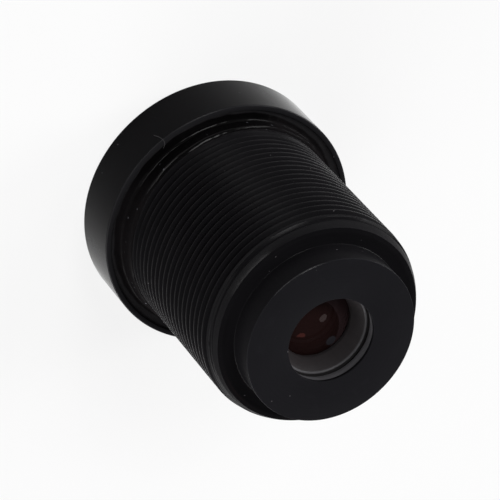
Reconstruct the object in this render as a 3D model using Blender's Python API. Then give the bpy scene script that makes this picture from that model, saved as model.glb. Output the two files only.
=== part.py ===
"""Fixed-focus board lens for a surveillance camera, with an M12 x 0.5 mounting thread.

The lens stands on the front rim of its head. The optical axis is +Z, from the head up to the
nose that faces the image sensor, and the origin is the centre of the front rim's plane.
"""
import math

import bmesh
import bpy

MM = 0.001

# Lengths along the axis, on the outside
HEAD_LENGTH = 3.13 * MM
NECK_LENGTH = 0.57 * MM
THREAD_LENGTH = 10.67 * MM
NOSE_LENGTH = 1.57 * MM

# Radii on the outside, each from its neighbour
THREAD_RADIUS = 5.94 * MM
HEAD_OVERHANG = 1.06 * MM
NOSE_STEP = 1.275 * MM

# Thread
THREAD_PITCH = 0.5 * MM
THREAD_DEPTH = 0.27 * MM
THREAD_RUN_IN = 0.9
THREAD_RUN_OUT = 1.1
CHAMFER_ANGLE = math.radians(20.5)
CHAMFER_DROP = 0.38 * MM
SHOULDER_EDGE_WIDTH = 0.23 * MM
SHOULDER_EDGE_HEIGHT = 0.05 * MM
NOSE_EDGE = 0.05 * MM

# Bores of the barrel, each from the one in front of it
FRONT_WALL = 0.94 * MM
MIDDLE_BORE_STEP = 0.95 * MM
REAR_BORE_STEP = 0.75 * MM
NOSE_LIP_WIDTH = 0.92 * MM
NOSE_LIP_THICKNESS = 0.28 * MM

# Head
HEAD_EDGE = 0.08 * MM
RIM_WIDTH = 0.3 * MM
RECESS_DEPTH = 0.35 * MM
HOOD_DEPTH = 1.15 * MM
HOOD_RIM_WIDTH = 0.8 * MM
HOOD_STEPS = 3
HEAD_LIP_THICKNESS = 0.3 * MM
HEAD_LIP_OVERLAP = 0.25 * MM

# Adhesive bead in the recess of the head
BEAD_SINK = 0.16 * MM
BEAD_CLIMB = 0.2 * MM

# O-ring round the front lens
O_RING_THICKNESS = 0.5 * MM

# Clearances
FIT = 0.04 * MM
GAP = 0.02 * MM

# Glass: depth of each curved surface at its rim, and the thickness that drives each element
FRONT_LENS_BULGE = 1.07 * MM
FRONT_LENS_HOLLOW = 1.19 * MM
FRONT_LENS_CENTRE = 0.9 * MM
FRONT_LENS_SEAT_WIDTH = 1.65 * MM
SECOND_LENS_FRONT_HOLLOW = 0.45 * MM
SECOND_LENS_REAR_HOLLOW = 0.53 * MM
SECOND_LENS_CENTRE = 0.6 * MM
SECOND_LENS_SEAT_WIDTH = 1.05 * MM
THIRD_LENS_FRONT_BULGE = 0.94 * MM
THIRD_LENS_REAR_BULGE = 0.69 * MM
THIRD_LENS_EDGE = 0.5 * MM
CROWN_FRONT_BULGE = 0.69 * MM
CEMENT_BULGE = 0.88 * MM
CROWN_EDGE = 0.4 * MM
FLINT_CENTRE = 0.5 * MM
FLINT_HOLLOW = 0.21 * MM
FLINT_SEAT_WIDTH = 0.85 * MM
REAR_LENS_FRONT_BULGE = 0.45 * MM
REAR_LENS_REAR_BULGE = 1.07 * MM
REAR_LENS_EDGE = 0.4 * MM

# Rings between the elements
BAFFLE_THICKNESS = 0.08 * MM
RETAINER_FLANGE = 0.7 * MM
RETAINER_SKIRT = 0.5 * MM
RETAINER_SLOT_WIDTH = 0.8 * MM
RETAINER_SLOT_DEPTH = 0.3 * MM
MIDDLE_RING_WALL = 1.35 * MM
REAR_RING_WALL = 0.85 * MM
STOP_THICKNESS = 0.12 * MM
STOP_RADIUS = 1.15 * MM
NOSE_RING_WALL = 0.79 * MM
NOSE_RING_STRAIGHT = 0.85 * MM
NOSE_RING_CONE = 0.7 * MM
NOSE_RING_LAND = 0.1 * MM
NOSE_RING_TAPER = 0.47 * MM

# Shares of the length that the glass leaves free, for the air before the stop and the rear lens
STOP_AIR_SHARE = 0.1
REAR_AIR_SHARE = 0.19
GAPS_BETWEEN_VERTICES = 5

# Facets round the axis and along a curve
HEAD_SEGMENTS = 40
BARREL_SEGMENTS = 32
INNER_SEGMENTS = 24
ARC_STEPS = 4
HIDDEN_ARC_STEPS = 3
REAR_LENS_ARC_STEPS = 6
O_RING_SIDES = 6
SHARP_ANGLE = math.radians(30)
SAME_PLACE = 0.0001 * MM

# Places along the pitch, and the share of the depth cut there: crest, crest, root
THREAD_PROFILE = ((0.0, 0.0), (0.125, 0.0), (0.5625, 1.0))

# Radii and levels that follow from the sizes above
HEAD_RADIUS = THREAD_RADIUS + HEAD_OVERHANG
HEAD_BORE = THREAD_RADIUS + FIT
RECESS_RADIUS = HEAD_RADIUS - RIM_WIDTH
NOSE_RADIUS = THREAD_RADIUS - NOSE_STEP
CHAMFER_END_RADIUS = THREAD_RADIUS - CHAMFER_DROP
FRONT_BORE = THREAD_RADIUS - FRONT_WALL
MIDDLE_BORE = FRONT_BORE - MIDDLE_BORE_STEP
REAR_BORE = MIDDLE_BORE - REAR_BORE_STEP
NOSE_HOLE = REAR_BORE - NOSE_LIP_WIDTH
HEAD_LIP_RADIUS = FRONT_BORE - HEAD_LIP_OVERLAP
FRONT_LENS_RADIUS = FRONT_BORE - FIT
MIDDLE_RADIUS = MIDDLE_BORE - FIT
REAR_RADIUS = REAR_BORE - FIT
SPACER_BORE = REAR_RADIUS - REAR_RING_WALL
NECK_TOP = HEAD_LENGTH + NECK_LENGTH
SHOULDER = NECK_TOP + THREAD_LENGTH
NOSE_END = SHOULDER + NOSE_LENGTH
CHAMFER_END = SHOULDER - SHOULDER_EDGE_HEIGHT
NOSE_LIP = NOSE_END - NOSE_LIP_THICKNESS
HEAD_SEAT = HOOD_DEPTH + HEAD_LIP_THICKNESS
BARREL_FRONT = HEAD_SEAT + GAP
RECESS_FLOOR = HEAD_LENGTH - RECESS_DEPTH


class Surface:
    """Spherical surface of an element, given by its depth at its rim."""

    def __init__(self, reach, depth):
        self.reach = reach
        self.curvature = (reach * reach + depth * depth) / (2 * depth)

    def sag(self, radius):
        """Depth of the surface at a distance from the axis."""
        return self.curvature - math.sqrt(self.curvature ** 2 - radius ** 2)

    def arc(self, vertex, side, steps):
        """Points (radius, z) from the axis out to the rim.

        side is +1 where the surface bends up (+Z) from its vertex, and -1 where it bends down.
        """
        top = math.asin(self.reach / self.curvature)
        angles = [top * step / steps for step in range(steps + 1)]
        return [
            (self.curvature * math.sin(a), vertex + side * self.curvature * (1 - math.cos(a)))
            for a in angles]


def make_material(name, colour, roughness, metallic=0.0, transmission=0.0):
    """One Principled material."""
    material = bpy.data.materials.new(name)
    material.use_nodes = True
    material.diffuse_color = (*colour, 1.0)
    shader = material.node_tree.nodes["Principled BSDF"]
    shader.inputs["Base Color"].default_value = (*colour, 1.0)
    shader.inputs["Roughness"].default_value = roughness
    shader.inputs["Metallic"].default_value = metallic
    shader.inputs["Transmission Weight"].default_value = transmission
    return material


def anodised_black(name):
    """Black anodised aluminium of the turned parts."""
    return make_material(name, (0.018, 0.018, 0.02), 0.36, metallic=0.4)


def dull_black(name):
    """Blackened film of the baffles and the aperture stop."""
    return make_material(name, (0.008, 0.008, 0.009), 0.8)


def coated_glass(name):
    """Optical glass with a faintly red coating."""
    return make_material(name, (0.55, 0.42, 0.4), 0.02, transmission=0.9)


def finish_object(name, mesh_data, material):
    """Turn a bmesh into a smooth-shaded, named object with one material."""
    bmesh.ops.recalc_face_normals(mesh_data, faces=mesh_data.faces)
    mesh = bpy.data.meshes.new(name)
    mesh_data.to_mesh(mesh)
    mesh_data.free()
    mesh.shade_smooth()
    mesh.set_sharp_from_angle(angle=SHARP_ANGLE)
    mesh.materials.append(material)
    thing = bpy.data.objects.new(name, mesh)
    bpy.context.collection.objects.link(thing)
    return thing


def spin_outline(mesh_data, points, segments, closed):
    """Turn an outline of (radius, z) points once round the axis."""
    verts = [mesh_data.verts.new((radius, 0.0, z)) for radius, z in points]
    edges = [mesh_data.edges.new(pair) for pair in zip(verts, verts[1:])]
    if closed:
        edges.append(mesh_data.edges.new((verts[-1], verts[0])))
    bmesh.ops.spin(
        mesh_data, geom=verts + edges, cent=(0, 0, 0), axis=(0, 0, 1),
        angle=math.tau, steps=segments, use_merge=True)
    bmesh.ops.remove_doubles(mesh_data, verts=mesh_data.verts, dist=SAME_PLACE)


def turned(name, points, material, segments=INNER_SEGMENTS, closed=True):
    """A turned solid from its outline; an open outline starts and ends on the axis."""
    mesh_data = bmesh.new()
    spin_outline(mesh_data, points, segments, closed)
    return finish_object(name, mesh_data, material)


def flat_ring(name, outer, inner, low, high, material):
    """A plain ring with square corners."""
    return turned(name, [(inner, low), (outer, low), (outer, high), (inner, high)], material)


def chamfer_radius(z):
    """Radius of the long chamfer that ends the thread at the nose shoulder."""
    return CHAMFER_END_RADIUS + (CHAMFER_END - z) * math.tan(CHAMFER_ANGLE)


def thread_vert(mesh_data, angle, turns, depth_share):
    """A vertex of the right-hand thread, some turns above its start on the neck."""
    z = NECK_TOP + THREAD_PITCH * turns
    cut = min(1.0, turns / THREAD_RUN_IN)
    radius = min(THREAD_RADIUS - THREAD_DEPTH * depth_share * cut, chamfer_radius(z))
    return mesh_data.verts.new((radius * math.cos(angle), radius * math.sin(angle), z))


def rim_verts(mesh_data, z):
    """The ring of vertices on the edge of the open shell at a level, in order of angle."""
    ring = [v for v in mesh_data.verts if v.is_boundary and abs(v.co.z - z) < SAME_PLACE]
    return sorted(ring, key=lambda v: math.atan2(v.co.y, v.co.x) % math.tau)


def close_fan(mesh_data, hub, chain):
    """Triangles from one vertex to each edge of a chain."""
    for first, second in zip(chain, chain[1:]):
        mesh_data.faces.new((hub, first, second))


def add_thread(mesh_data, low_rim, high_rim):
    """Fill the open shell between two rims with the helical thread."""
    rows_per_turn = len(THREAD_PROFILE)
    columns = len(low_rim)
    full_turns = int((CHAMFER_END - NECK_TOP) / THREAD_PITCH - THREAD_RUN_OUT)
    last = full_turns * rows_per_turn
    grid = {}
    for row in range(last + rows_per_turn + 1):
        whole, place = divmod(row, rows_per_turn)
        share, depth_share = THREAD_PROFILE[place]
        for column in range(columns if row <= last else 1):
            angle = math.tau * column / columns
            turns = whole + share + column / columns
            grid[row, column] = thread_vert(mesh_data, angle, turns, depth_share)
    for row in range(last + 1):
        grid[row, columns] = grid[row + rows_per_turn, 0]
    for row in range(last):
        for column in range(columns):
            mesh_data.faces.new((
                grid[row, column], grid[row, column + 1],
                grid[row + 1, column + 1], grid[row + 1, column]))
    for column in range(columns - 1):
        mesh_data.faces.new((
            low_rim[column], low_rim[column + 1], grid[0, column + 1], grid[0, column]))
    for column in range(1, columns):
        mesh_data.faces.new((
            grid[last, column], grid[last, column + 1],
            high_rim[(column + 1) % columns], high_rim[column]))
    start_chain = [low_rim[-1], low_rim[0]]
    start_chain += [grid[row, 0] for row in range(rows_per_turn + 1)]
    close_fan(mesh_data, grid[0, columns - 1], start_chain)
    end_chain = [high_rim[1], high_rim[0]]
    end_chain += [grid[row, 0] for row in range(last + rows_per_turn, last - 1, -1)]
    close_fan(mesh_data, grid[last, 1], end_chain)


def make_barrel(step_middle, step_rear):
    """Threaded barrel with its stepped bore, nose and sensor-side lip."""
    groove = HEAD_SEAT + O_RING_THICKNESS + 2 * FIT
    groove_radius = FRONT_BORE + O_RING_THICKNESS + FIT
    outline = [
        (THREAD_RADIUS, NECK_TOP - FIT),
        (THREAD_RADIUS, BARREL_FRONT + HEAD_EDGE),
        (THREAD_RADIUS - HEAD_EDGE, BARREL_FRONT),
        (groove_radius, BARREL_FRONT),
        (groove_radius, groove),
        (FRONT_BORE, groove),
        (FRONT_BORE, step_middle),
        (MIDDLE_BORE, step_middle),
        (MIDDLE_BORE, step_rear),
        (REAR_BORE, step_rear),
        (REAR_BORE, NOSE_LIP),
        (NOSE_HOLE, NOSE_LIP),
        (NOSE_HOLE, NOSE_END),
        (NOSE_RADIUS - NOSE_EDGE, NOSE_END),
        (NOSE_RADIUS, NOSE_END - NOSE_EDGE),
        (NOSE_RADIUS, SHOULDER),
        (CHAMFER_END_RADIUS - SHOULDER_EDGE_WIDTH, SHOULDER),
        (CHAMFER_END_RADIUS, CHAMFER_END),
    ]
    mesh_data = bmesh.new()
    spin_outline(mesh_data, outline, BARREL_SEGMENTS, closed=False)
    low_rim = rim_verts(mesh_data, NECK_TOP - FIT)
    high_rim = rim_verts(mesh_data, CHAMFER_END)
    add_thread(mesh_data, low_rim, high_rim)
    return finish_object("barrel", mesh_data, anodised_black("barrel_anodised"))


def make_head():
    """Hood ring that is screwed over the front of the barrel and holds the front lens."""
    outline = [
        (HEAD_RADIUS - HEAD_EDGE, 0.0),
        (HEAD_RADIUS, HEAD_EDGE),
        (HEAD_RADIUS, HEAD_LENGTH - HEAD_EDGE),
        (HEAD_RADIUS - HEAD_EDGE, HEAD_LENGTH),
        (RECESS_RADIUS, HEAD_LENGTH),
        (RECESS_RADIUS, RECESS_FLOOR),
        (HEAD_BORE, RECESS_FLOOR),
        (HEAD_BORE, HEAD_SEAT),
        (HEAD_LIP_RADIUS, HEAD_SEAT),
        (HEAD_LIP_RADIUS, HOOD_DEPTH),
    ]
    mouth = HEAD_RADIUS - HOOD_RIM_WIDTH
    tread = (mouth - HEAD_LIP_RADIUS) / HOOD_STEPS
    for step in range(HOOD_STEPS):
        radius = HEAD_LIP_RADIUS + tread * (step + 1)
        outline.append((radius, HOOD_DEPTH * (HOOD_STEPS - step) / HOOD_STEPS))
        outline.append((radius, HOOD_DEPTH * (HOOD_STEPS - step - 1) / HOOD_STEPS))
    return turned("front_head", outline, anodised_black("head_anodised"), HEAD_SEGMENTS)


def make_bead():
    """Glossy thread-locking adhesive that fills the recess and climbs the neck."""
    outer = RECESS_RADIUS - FIT
    low = HEAD_LENGTH - BEAD_SINK
    width = outer - HEAD_BORE
    height = BEAD_SINK + BEAD_CLIMB
    outline = [(HEAD_BORE, RECESS_FLOOR + GAP), (outer, RECESS_FLOOR + GAP)]
    for step in range(ARC_STEPS + 1):
        angle = math.pi / 2 * step / ARC_STEPS
        outline.append((outer - width * math.sin(angle), low + height * (1 - math.cos(angle))))
    material = make_material("thread_adhesive", (0.012, 0.011, 0.013), 0.12)
    return turned("adhesive_bead", outline, material, BARREL_SEGMENTS)


def make_o_ring():
    """Rubber ring between the head, the barrel and the rim of the front lens."""
    radius = O_RING_THICKNESS / 2
    centre = FRONT_BORE + radius
    middle = BARREL_FRONT + radius + FIT / 2
    angles = [math.tau * side / O_RING_SIDES for side in range(O_RING_SIDES)]
    outline = [(centre + radius * math.cos(a), middle + radius * math.sin(a)) for a in angles]
    material = make_material("o_ring_rubber", (0.015, 0.015, 0.015), 0.7)
    return turned("front_o_ring", outline, material, BARREL_SEGMENTS)


def make_front_lens():
    """Negative meniscus held by the head's lip; returns the level of its rear seat."""
    front = Surface(FRONT_LENS_RADIUS, FRONT_LENS_BULGE)
    rear = Surface(FRONT_LENS_RADIUS - FRONT_LENS_SEAT_WIDTH, FRONT_LENS_HOLLOW)
    vertex = HEAD_SEAT + GAP - front.sag(HEAD_LIP_RADIUS)
    rear_vertex = vertex + FRONT_LENS_CENTRE
    seat = rear_vertex + FRONT_LENS_HOLLOW
    outline = front.arc(vertex, 1, ARC_STEPS)
    outline += [(FRONT_LENS_RADIUS, seat)]
    outline += reversed(rear.arc(rear_vertex, 1, ARC_STEPS))
    turned("front_lens", outline, coated_glass("front_glass"), BARREL_SEGMENTS, closed=False)
    return seat


def make_baffle(name, outer, inner, low):
    """Thin blackened ring that stops stray light; returns the level of its far side."""
    high = low + BAFFLE_THICKNESS
    flat_ring(name, outer, inner, low, high, dull_black(name + "_film"))
    return high


def make_retainer(low):
    """Slotted ring screwed down on the middle elements; returns its flange and skirt levels."""
    flange = low + RETAINER_FLANGE
    skirt = flange + RETAINER_SKIRT
    mouth = FRONT_LENS_RADIUS - FRONT_LENS_SEAT_WIDTH
    throat = MIDDLE_RADIUS - SECOND_LENS_SEAT_WIDTH
    outline = [
        (mouth, low), (FRONT_LENS_RADIUS, low), (FRONT_LENS_RADIUS, flange),
        (MIDDLE_RADIUS, flange), (MIDDLE_RADIUS, skirt), (throat, skirt)]
    ring = turned("inner_retaining_ring", outline, anodised_black("retainer_anodised"))
    bpy.ops.mesh.primitive_cube_add(size=1.0, location=(0.0, 0.0, low))
    cutter = bpy.context.object
    cutter.name = "spanner_slot_cutter"
    cutter.scale = (3 * FRONT_LENS_RADIUS, RETAINER_SLOT_WIDTH, 2 * RETAINER_SLOT_DEPTH)
    cutter.hide_render = True
    cutter.display_type = "WIRE"
    slots = ring.modifiers.new("spanner_slots", "BOOLEAN")
    slots.operation = "DIFFERENCE"
    slots.solver = "EXACT"
    slots.object = cutter
    return flange, skirt


def make_second_lens(low):
    """Biconcave element with a flat seat on both sides; returns its rear seat and aperture."""
    front = Surface(MIDDLE_RADIUS - SECOND_LENS_SEAT_WIDTH, SECOND_LENS_FRONT_HOLLOW)
    rear = Surface(MIDDLE_RADIUS - MIDDLE_RING_WALL, SECOND_LENS_REAR_HOLLOW)
    front_vertex = low + SECOND_LENS_FRONT_HOLLOW
    rear_vertex = front_vertex + SECOND_LENS_CENTRE
    high = rear_vertex + SECOND_LENS_REAR_HOLLOW
    outline = front.arc(front_vertex, -1, HIDDEN_ARC_STEPS)
    outline += [(MIDDLE_RADIUS, low), (MIDDLE_RADIUS, high)]
    outline += reversed(rear.arc(rear_vertex, 1, HIDDEN_ARC_STEPS))
    turned("second_lens", outline, coated_glass("second_glass"), closed=False)
    return high, rear.reach


def make_biconvex(name, front_vertex, front, rear_vertex, rear, segments, steps):
    """Element that bulges on both sides, between two vertices on the axis."""
    outline = front.arc(front_vertex, 1, HIDDEN_ARC_STEPS)
    outline += reversed(rear.arc(rear_vertex, -1, steps))
    turned(name, outline, coated_glass(name + "_glass"), segments, closed=False)


def make_front_elements():
    """Everything from the head's lip to the third lens.

    Returns the level of the bore's middle step, and the seat and the vertex of the third lens.
    """
    lens_seat = make_front_lens()
    mouth = FRONT_LENS_RADIUS - FRONT_LENS_SEAT_WIDTH
    baffle_top = make_baffle("front_baffle", FRONT_LENS_RADIUS, mouth, lens_seat + GAP)
    flange, skirt = make_retainer(baffle_top + GAP)
    second_seat, inner = make_second_lens(skirt + GAP)
    baffle_top = make_baffle("second_baffle", MIDDLE_RADIUS, inner, second_seat + GAP)
    front = Surface(MIDDLE_RADIUS, THIRD_LENS_FRONT_BULGE)
    rear = Surface(MIDDLE_RADIUS, THIRD_LENS_REAR_BULGE)
    front_vertex = baffle_top + GAP - front.sag(inner)
    rear_vertex = front_vertex + THIRD_LENS_FRONT_BULGE + THIRD_LENS_EDGE + THIRD_LENS_REAR_BULGE
    make_biconvex(
        "third_lens", front_vertex, front, rear_vertex, rear, INNER_SEGMENTS, HIDDEN_ARC_STEPS)
    return flange + GAP, rear_vertex - rear.sag(inner), rear_vertex


def make_nose_ring():
    """Ring under the nose lip, straight and then conical; returns its low level and opening."""
    outer = REAR_RADIUS
    bore = outer - NOSE_RING_WALL
    opening = bore - NOSE_RING_TAPER
    high = NOSE_LIP - GAP
    cone_high = high - NOSE_RING_STRAIGHT
    cone_low = cone_high - NOSE_RING_CONE
    low = cone_low - NOSE_RING_LAND
    outline = [
        (outer, low), (outer, high), (bore, high), (bore, cone_high), (opening, cone_low),
        (opening, low)]
    turned("nose_ring", outline, anodised_black("nose_ring_anodised"), BARREL_SEGMENTS)
    return low, opening


def make_rear_element():
    """Everything from the nose lip to the rear lens; returns the lens's seat and vertex."""
    ring_low, opening = make_nose_ring()
    baffle_low = ring_low - GAP - BAFFLE_THICKNESS
    make_baffle("nose_baffle", REAR_RADIUS, opening, baffle_low)
    front = Surface(REAR_RADIUS, REAR_LENS_FRONT_BULGE)
    rear = Surface(REAR_RADIUS, REAR_LENS_REAR_BULGE)
    rear_vertex = baffle_low - GAP + rear.sag(opening)
    front_vertex = rear_vertex - REAR_LENS_REAR_BULGE - REAR_LENS_EDGE - REAR_LENS_FRONT_BULGE
    make_biconvex(
        "rear_lens", front_vertex, front, rear_vertex, rear, BARREL_SEGMENTS,
        REAR_LENS_ARC_STEPS)
    return front_vertex + front.sag(SPACER_BORE), front_vertex


def make_doublet(flint_seat):
    """Cemented flint and crown; returns the level on which the crown's front is held."""
    flint_rear = flint_seat - FLINT_HOLLOW
    flint_front = flint_rear - FLINT_CENTRE
    cement = Surface(REAR_RADIUS, CEMENT_BULGE)
    hollow = Surface(REAR_RADIUS - FLINT_SEAT_WIDTH, FLINT_HOLLOW)
    outline = cement.arc(flint_front, -1, HIDDEN_ARC_STEPS)
    outline += [(REAR_RADIUS, flint_seat)]
    outline += reversed(hollow.arc(flint_rear, 1, HIDDEN_ARC_STEPS))
    turned("doublet_flint", outline, coated_glass("flint_glass"), closed=False)
    crown = Surface(REAR_RADIUS, CROWN_FRONT_BULGE)
    crown_rear = flint_front - GAP
    crown_front = crown_rear - CEMENT_BULGE - CROWN_EDGE - CROWN_FRONT_BULGE
    make_biconvex(
        "doublet_crown", crown_front, crown, crown_rear, cement, INNER_SEGMENTS,
        HIDDEN_ARC_STEPS)
    return crown_front + crown.sag(SPACER_BORE)


def doublet_height():
    """Height of the doublet from the vertex of the crown to the seat of the flint."""
    crown_height = CROWN_FRONT_BULGE + CROWN_EDGE + CEMENT_BULGE
    return crown_height + GAP + FLINT_CENTRE + FLINT_HOLLOW


def make_stop(low):
    """Fixed aperture stop with a knife edge; returns the level of its far side."""
    high = low + STOP_THICKNESS
    flat_radius = MIDDLE_RADIUS - MIDDLE_RING_WALL
    outline = [
        (STOP_RADIUS, (low + high) / 2), (flat_radius, low), (MIDDLE_RADIUS, low),
        (MIDDLE_RADIUS, high), (flat_radius, high)]
    turned("aperture_stop", outline, dull_black("stop_film"))
    return high


def make_spacer(name, radius, bore, low, high):
    """Plain black spacer ring."""
    flat_ring(name, radius, bore, low, high, anodised_black(name + "_anodised"))


def make_middle_group(front_seat, front_vertex, rear_seat, rear_vertex):
    """Spacers, stop and doublet between the third and the rear lens; returns the stop's step."""
    solid = STOP_THICKNESS + doublet_height() + BAFFLE_THICKNESS + GAPS_BETWEEN_VERTICES * GAP
    free = rear_vertex - front_vertex - solid
    stop_low = front_vertex + GAP + free * STOP_AIR_SHARE
    bore = MIDDLE_RADIUS - MIDDLE_RING_WALL
    make_spacer("stop_front_spacer", MIDDLE_RADIUS, bore, front_seat + GAP, stop_low - GAP)
    step_rear = make_stop(stop_low) + GAP
    baffle_high = rear_vertex - GAP - free * REAR_AIR_SHARE
    make_spacer("rear_spacer", REAR_RADIUS, SPACER_BORE, baffle_high + GAP, rear_seat - GAP)
    baffle_low = baffle_high - BAFFLE_THICKNESS
    make_baffle("rear_baffle", REAR_RADIUS, SPACER_BORE, baffle_low)
    crown_hold = make_doublet(baffle_low - GAP)
    make_spacer("stop_rear_spacer", REAR_RADIUS, SPACER_BORE, step_rear, crown_hold - GAP)
    return step_rear


def main():
    """Clear the scene and build the lens."""
    for thing in list(bpy.data.objects):
        bpy.data.objects.remove(thing, do_unlink=True)
    make_head()
    make_bead()
    make_o_ring()
    step_middle, front_seat, front_vertex = make_front_elements()
    rear_seat, rear_vertex = make_rear_element()
    step_rear = make_middle_group(front_seat, front_vertex, rear_seat, rear_vertex)
    make_barrel(step_middle, step_rear)


main()
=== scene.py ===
"""Board lens of a surveillance camera, dressed and lit for its photograph.

The lens stands on its head, with the nose that faces the image sensor on top. All sizes in the
classes are millimetres in the frame of the CAD model; MM turns them into Blender's metres.
"""

import logging
import math
from collections.abc import Mapping, Sequence
from dataclasses import dataclass
from enum import Enum
from typing import Any

import bpy
from mathutils import Matrix, Vector, noise


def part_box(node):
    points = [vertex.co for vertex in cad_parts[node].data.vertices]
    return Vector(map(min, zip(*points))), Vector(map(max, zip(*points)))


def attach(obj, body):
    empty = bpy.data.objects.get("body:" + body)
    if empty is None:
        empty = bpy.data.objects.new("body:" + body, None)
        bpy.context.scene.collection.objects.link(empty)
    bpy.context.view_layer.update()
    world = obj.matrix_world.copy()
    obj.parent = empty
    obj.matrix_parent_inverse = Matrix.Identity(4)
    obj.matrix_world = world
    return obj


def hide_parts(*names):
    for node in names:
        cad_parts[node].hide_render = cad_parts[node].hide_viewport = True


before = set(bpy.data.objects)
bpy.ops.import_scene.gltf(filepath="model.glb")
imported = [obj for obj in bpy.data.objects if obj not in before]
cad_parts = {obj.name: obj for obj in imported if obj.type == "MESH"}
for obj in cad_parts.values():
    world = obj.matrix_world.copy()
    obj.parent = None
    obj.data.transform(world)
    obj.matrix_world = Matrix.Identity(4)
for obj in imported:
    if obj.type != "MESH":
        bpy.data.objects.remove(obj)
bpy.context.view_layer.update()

LOG = logging.getLogger("board_lens")
MM = 0.001
SAME_PLACE = 0.0002 * MM
NOWHERE = 99.0
SMOOTH_ANGLE = math.radians(38)
Colour = tuple[float, float, float]


# Shader maths

class Shade:
    """A number in a material's graph, on which Python's operators add Math nodes."""

    def __init__(self, sheet: "Sheet", socket: bpy.types.NodeSocket) -> None:
        """Wraps one output.

        Args:
            sheet: the graph that the socket belongs to.
            socket: the output that carries the number.
        """
        self.sheet = sheet
        self.socket = socket

    def _maths(self, operation: str, first: Any, second: Any = 0.0) -> "Shade":
        """Adds one Math node.

        Args:
            operation: the Math node's operation.
            first: its first value or link.
            second: its second value or link.

        Returns:
            The node's result.
        """
        made = self.sheet.node("ShaderNodeMath", {"operation": operation}, {0: first, 1: second})
        return Shade(self.sheet, made.outputs[0])

    def __add__(self, other: Any) -> "Shade":
        """Sum of two numbers."""
        return self._maths("ADD", self, other)

    def __radd__(self, other: Any) -> "Shade":
        """Sum with a plain number on the left."""
        return self._maths("ADD", other, self)

    def __sub__(self, other: Any) -> "Shade":
        """Difference of two numbers."""
        return self._maths("SUBTRACT", self, other)

    def __rsub__(self, other: Any) -> "Shade":
        """Difference with a plain number on the left."""
        return self._maths("SUBTRACT", other, self)

    def __mul__(self, other: Any) -> "Shade":
        """Product of two numbers."""
        return self._maths("MULTIPLY", self, other)

    def __truediv__(self, other: Any) -> "Shade":
        """Quotient of two numbers."""
        return self._maths("DIVIDE", self, other)

    def __pow__(self, other: Any) -> "Shade":
        """Power of a number."""
        return self._maths("POWER", self, other)

    def capped(self, other: Any) -> "Shade":
        """The lower of two numbers."""
        return self._maths("MINIMUM", self, other)

    def at_least(self, other: Any) -> "Shade":
        """The higher of two numbers."""
        return self._maths("MAXIMUM", self, other)

    def diagonal(self, other: "Shade") -> "Shade":
        """Length of the diagonal of a rectangle with these two sides."""
        return (self * self + other * other) ** 0.5

    def bearing(self, other: Any) -> "Shade":
        """Angle of the point whose height is this number and whose reach is the other."""
        return self._maths("ARCTAN2", self, other)


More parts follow.
